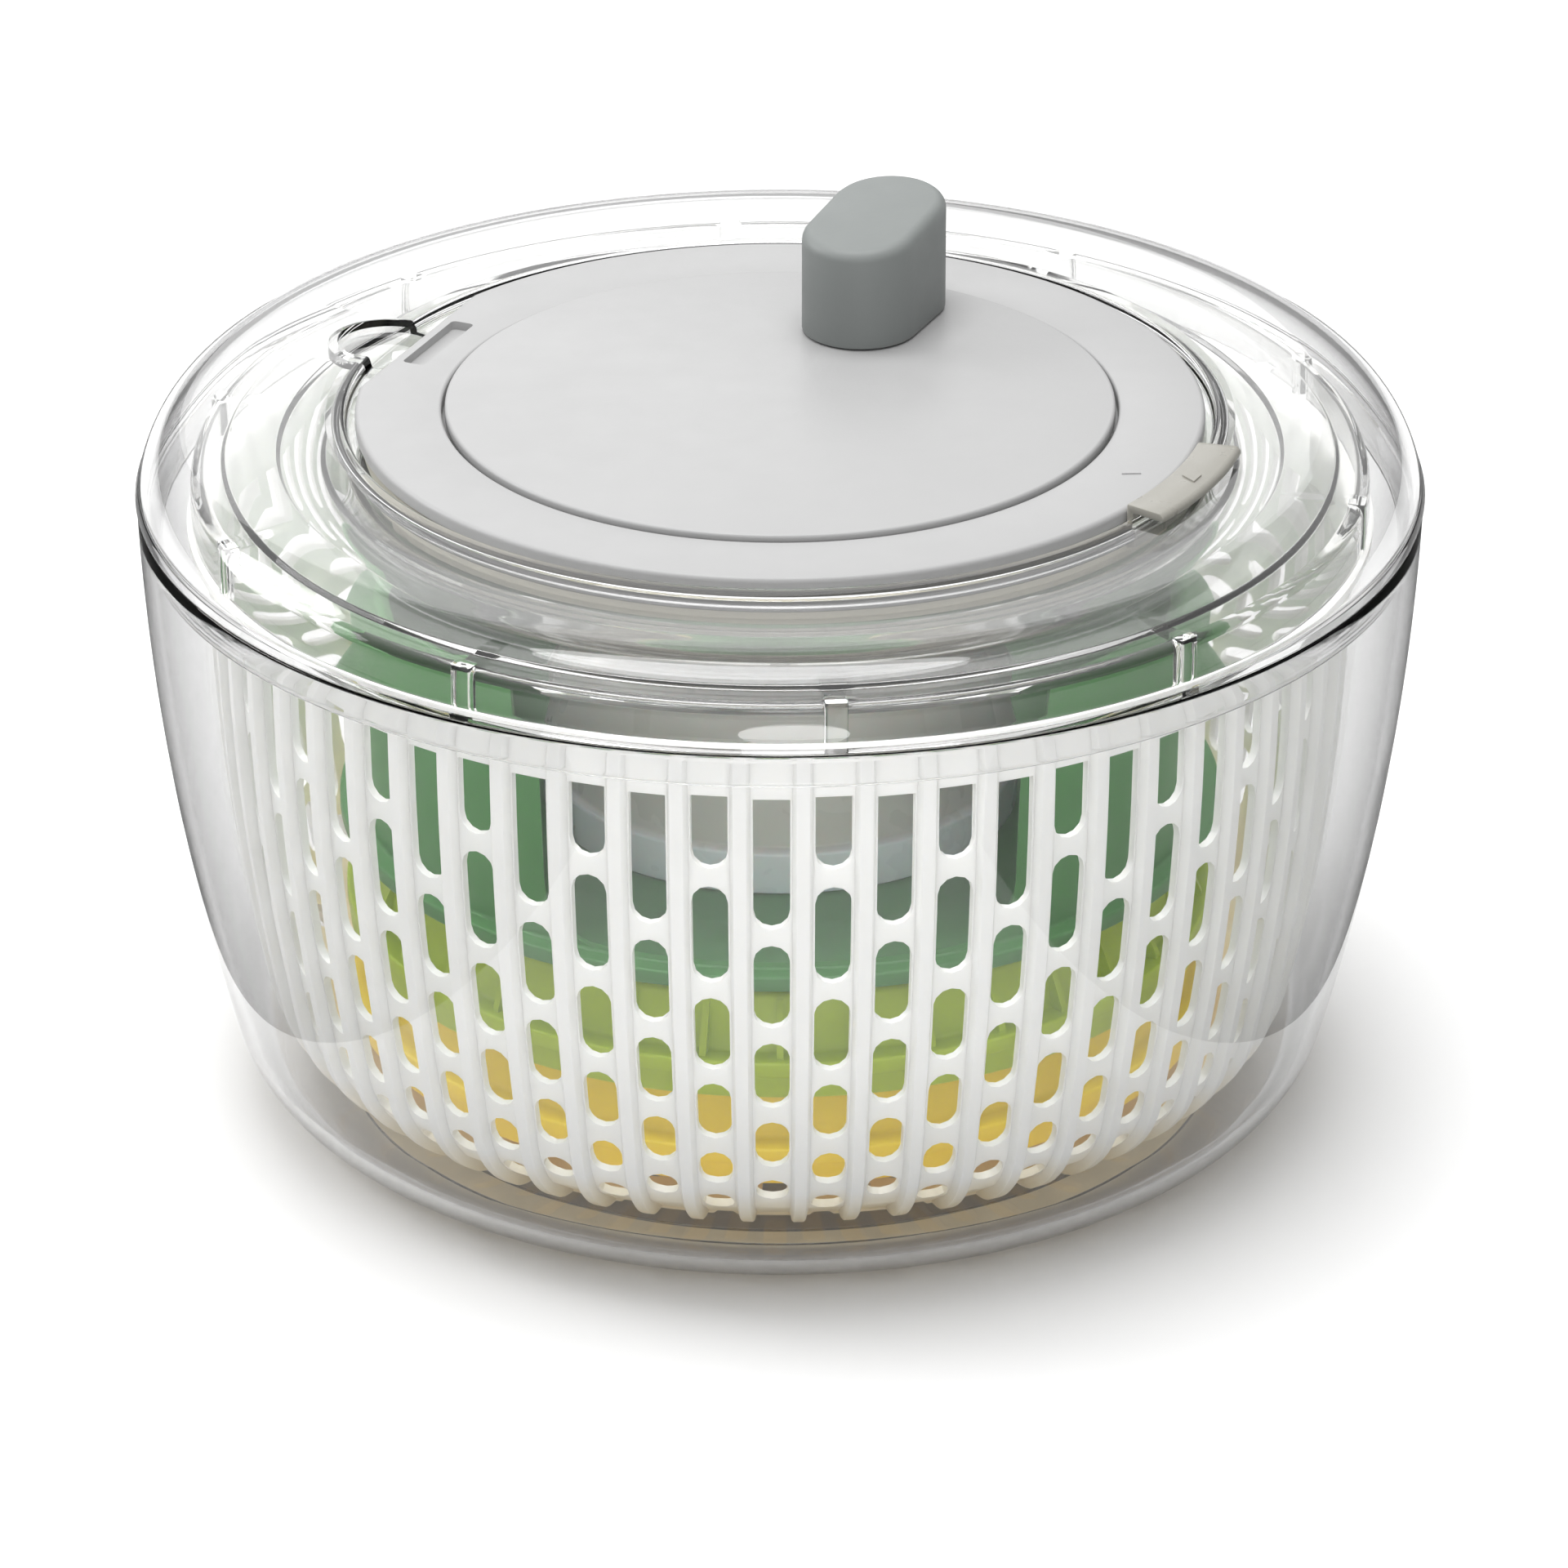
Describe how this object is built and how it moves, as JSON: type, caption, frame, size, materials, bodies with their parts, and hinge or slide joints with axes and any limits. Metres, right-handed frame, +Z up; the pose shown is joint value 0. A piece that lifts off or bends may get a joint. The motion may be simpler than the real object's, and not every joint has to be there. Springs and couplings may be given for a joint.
{
  "type": "salad spinner",
  "caption": "Hand-cranked salad spinner: clear bowl and domed lid, slotted basket, planetary crank drive, and stacked cutting frames with a food holder stored inside.",
  "frame": {"origin": "centre of the foot ring's underside, on the spin axis, where the bowl stands", "axes": "+Z up along the spin axis; -Y is the front, +X is to the right seen from the front"},
  "size_m": [0.265, 0.265, 0.1753],
  "materials": {
    "clear": "clear, polished",
    "milky": "milky white, satin",
    "cream": "cream, satin",
    "pale_grey": "pale grey, satin",
    "knob_grey": "mid grey, satin",
    "dark_green": "dark green, glossy",
    "lime": "lime green, glossy",
    "yellow": "yellow, glossy",
    "gear_white": "off-white, smooth",
    "steel": "satin steel",
    "foot_cream": "cream, matt"
  },
  "bodies": {
    "bowl": {"bowl": "clear", "foot_ring": "foot_cream", "pivot_pin": "gear_white"},
    "basket": {"basket": "milky", "pivot_cup": "gear_white", "slicer_frame": "yellow", "slicer_blade": "steel", "grater_frame": "lime", "grater_blade": "steel", "spiral_frame": "dark_green", "spiral_blade": "steel", "food_holder": "milky"},
    "lid": {"lid": "clear", "gear_case": "cream", "lock_tab": "cream", "planet_axle_1": "steel", "planet_axle_2": "steel", "planet_axle_3": "steel"},
    "lock_ring": {"lock_ring": "pale_grey"},
    "crank": {"crank_disc": "pale_grey", "crank_bush": "gear_white", "ring_gear": "gear_white", "knob_spindle": "steel"},
    "knob": {"knob": "knob_grey"},
    "planet_1": {"planet_gear_1": "gear_white"},
    "planet_2": {"planet_gear_2": "gear_white"},
    "planet_3": {"planet_gear_3": "gear_white"},
    "cover": {"inner_cover": "clear", "output_shaft": "steel", "cover_screw": "steel", "sun_gear": "gear_white"}
  },
  "joints": [
    {"name": "basket_spin", "type": "hinge", "parent": "bowl", "child": "basket", "pos_m": [0, 0, 0.014], "axis": [0, 0, 1], "continuous": true},
    {"name": "lid_lift", "type": "slide", "parent": "bowl", "child": "lid", "axis": [0, 0, 1], "range_m": [0, 0.06]},
    {"name": "lock_ring_turn", "type": "hinge", "parent": "lid", "child": "lock_ring", "pos_m": [0, 0, 0.1457], "axis": [0, 0, 1], "range_deg": [0, 20]},
    {"name": "crank_spin", "type": "hinge", "parent": "lid", "child": "crank", "pos_m": [0, 0, 0.15], "axis": [0, 0, 1], "continuous": true},
    {"name": "knob_spin", "type": "hinge", "parent": "crank", "child": "knob", "pos_m": [0.01958, 0.04317, 0.15], "axis": [0, 0, 1], "continuous": true},
    {"name": "planet_1_spin", "type": "hinge", "parent": "lid", "child": "planet_1", "pos_m": [0.036, 0, 0.14], "axis": [0, 0, 1], "continuous": true},
    {"name": "planet_2_spin", "type": "hinge", "parent": "lid", "child": "planet_2", "pos_m": [-0.018, 0.03118, 0.14], "axis": [0, 0, 1], "continuous": true},
    {"name": "planet_3_spin", "type": "hinge", "parent": "lid", "child": "planet_3", "pos_m": [-0.018, -0.03118, 0.14], "axis": [0, 0, 1], "continuous": true},
    {"name": "cover_spin", "type": "hinge", "parent": "lid", "child": "cover", "pos_m": [0, 0, 0.14], "axis": [0, 0, 1], "continuous": true}
  ],
  "couplings": [
    {"joint": "cover_spin", "follows": "basket_spin", "ratio": 1},
    {"joint": "crank_spin", "follows": "basket_spin", "ratio": -0.33333},
    {"joint": "planet_1_spin", "follows": "basket_spin", "ratio": -1},
    {"joint": "planet_2_spin", "follows": "basket_spin", "ratio": -1},
    {"joint": "planet_3_spin", "follows": "basket_spin", "ratio": -1}
  ]
}
